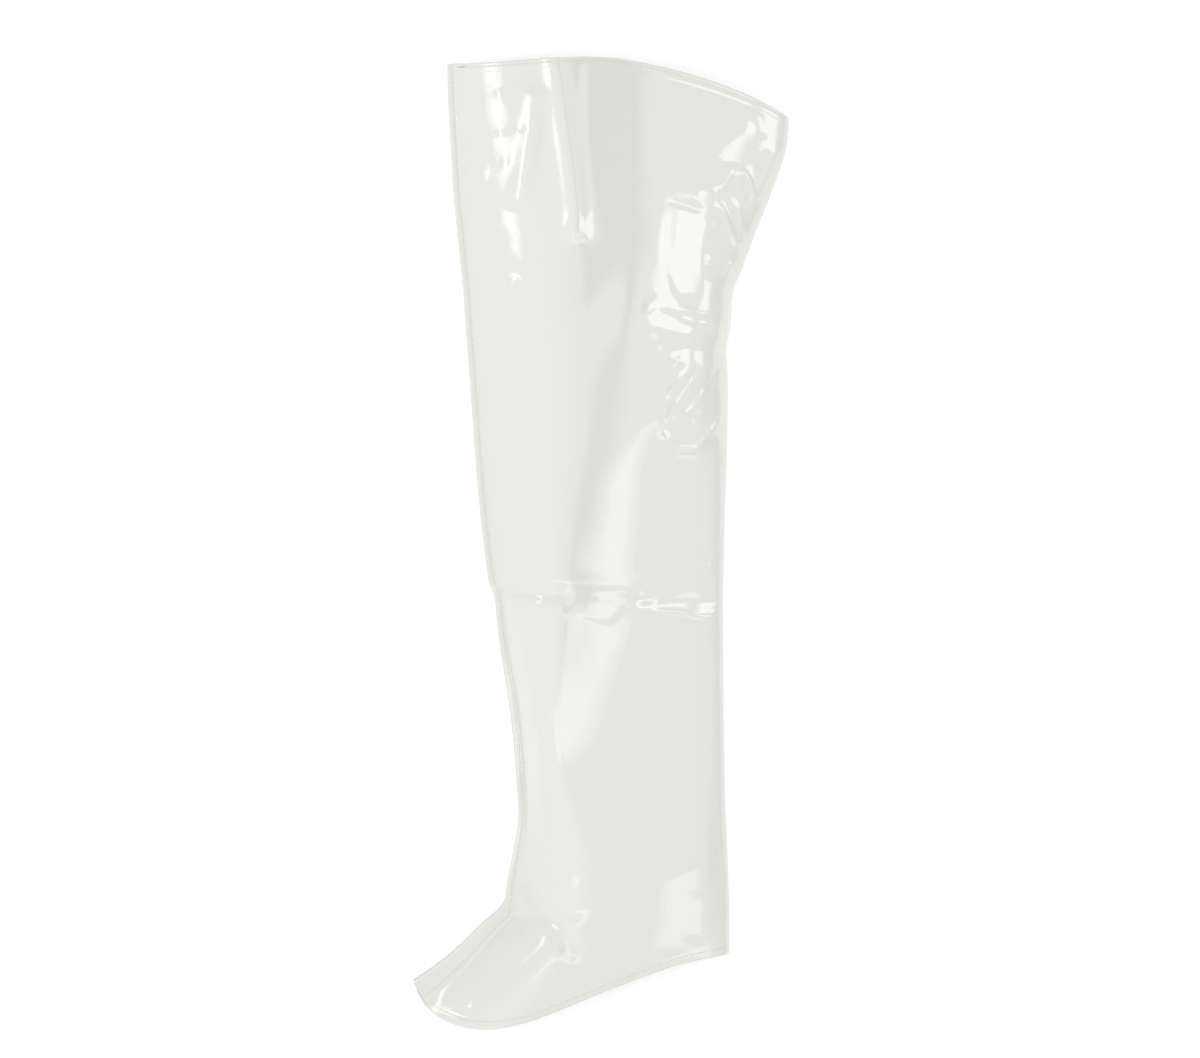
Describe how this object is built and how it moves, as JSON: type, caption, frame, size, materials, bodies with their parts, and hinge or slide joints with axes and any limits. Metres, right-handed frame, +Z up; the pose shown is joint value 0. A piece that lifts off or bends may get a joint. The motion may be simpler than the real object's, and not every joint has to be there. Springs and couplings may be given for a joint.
{
  "type": "thigh-high boot cover",
  "caption": "Slack thigh-high boot cover of glossy patent vinyl, lying on its side, a tube open at the collar and along the foot, with hems turned in.",
  "frame": {"origin": "on the floor, under the middle of the cover's outline", "axes": "+Z up, the cover lying on its side; +Y towards the collar; -X towards the toe"},
  "size_m": [0.303, 0.7764, 0.0423],
  "materials": {
    "patent_vinyl": "off-white patent vinyl with a mirror-like coat, faint ripples of its backing showing in the gloss",
    "knit_backing": "matte off-white knitted backing"
  },
  "bodies": {
    "root": {"upper": "patent_vinyl", "collar_hem": "patent_vinyl", "sole_hem": "patent_vinyl"}
  },
  "joints": []
}
